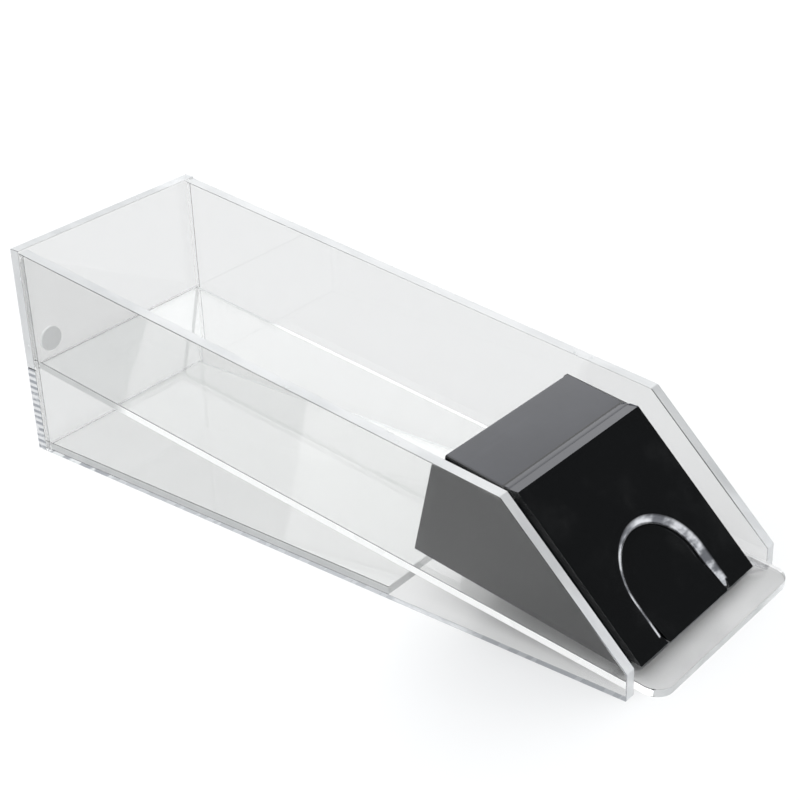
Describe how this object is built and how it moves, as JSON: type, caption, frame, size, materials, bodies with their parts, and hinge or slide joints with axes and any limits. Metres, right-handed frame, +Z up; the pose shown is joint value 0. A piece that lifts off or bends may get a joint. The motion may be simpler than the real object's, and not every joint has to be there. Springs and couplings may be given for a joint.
{
  "type": "playing card dealing shoe",
  "caption": "Sloping clear acrylic card tray with a black hood, finger notch and weighted rolling follower, for dealing playing cards.",
  "frame": {"origin": "centre of the footprint on the table", "axes": "+Z up, +Y from the dealing end towards the high rear wall, +X across the tray to the right seen from the dealing end"},
  "size_m": [0.12, 0.3682, 0.1109],
  "materials": {
    "clear_acrylic": "clear polished acrylic plate",
    "black_acrylic": "polished black acrylic",
    "grey_polymer": "soft translucent grey polymer",
    "steel": "turned steel"
  },
  "bodies": {
    "shoe": {"left_side_wall": "clear_acrylic", "right_side_wall": "clear_acrylic", "tray_floor": "clear_acrylic", "rear_wall": "clear_acrylic", "rear_support_panel": "clear_acrylic", "base_plate": "clear_acrylic", "rear_bumper": "grey_polymer", "face_plate": "black_acrylic", "hood_top_plate": "black_acrylic", "hood_corner_strip": "black_acrylic", "hood_left_panel": "black_acrylic", "hood_right_panel": "black_acrylic"},
    "follower": {"follower_block": "black_acrylic", "follower_weight": "steel", "follower_axle": "steel"},
    "roller": {"follower_roller": "steel"}
  },
  "joints": [
    {"name": "follower_slide", "type": "slide", "parent": "shoe", "child": "follower", "axis": [0, 0.9923, 0.1239], "range_m": [0, 0.25]},
    {"name": "roller_spin", "type": "hinge", "parent": "follower", "child": "roller", "pos_m": [0, -0.0963, 0.02337], "axis": [1, 0, 0], "continuous": true}
  ],
  "couplings": [
    {"joint": "roller_spin", "follows": "follower_slide", "rad_per_m": -142.86}
  ]
}
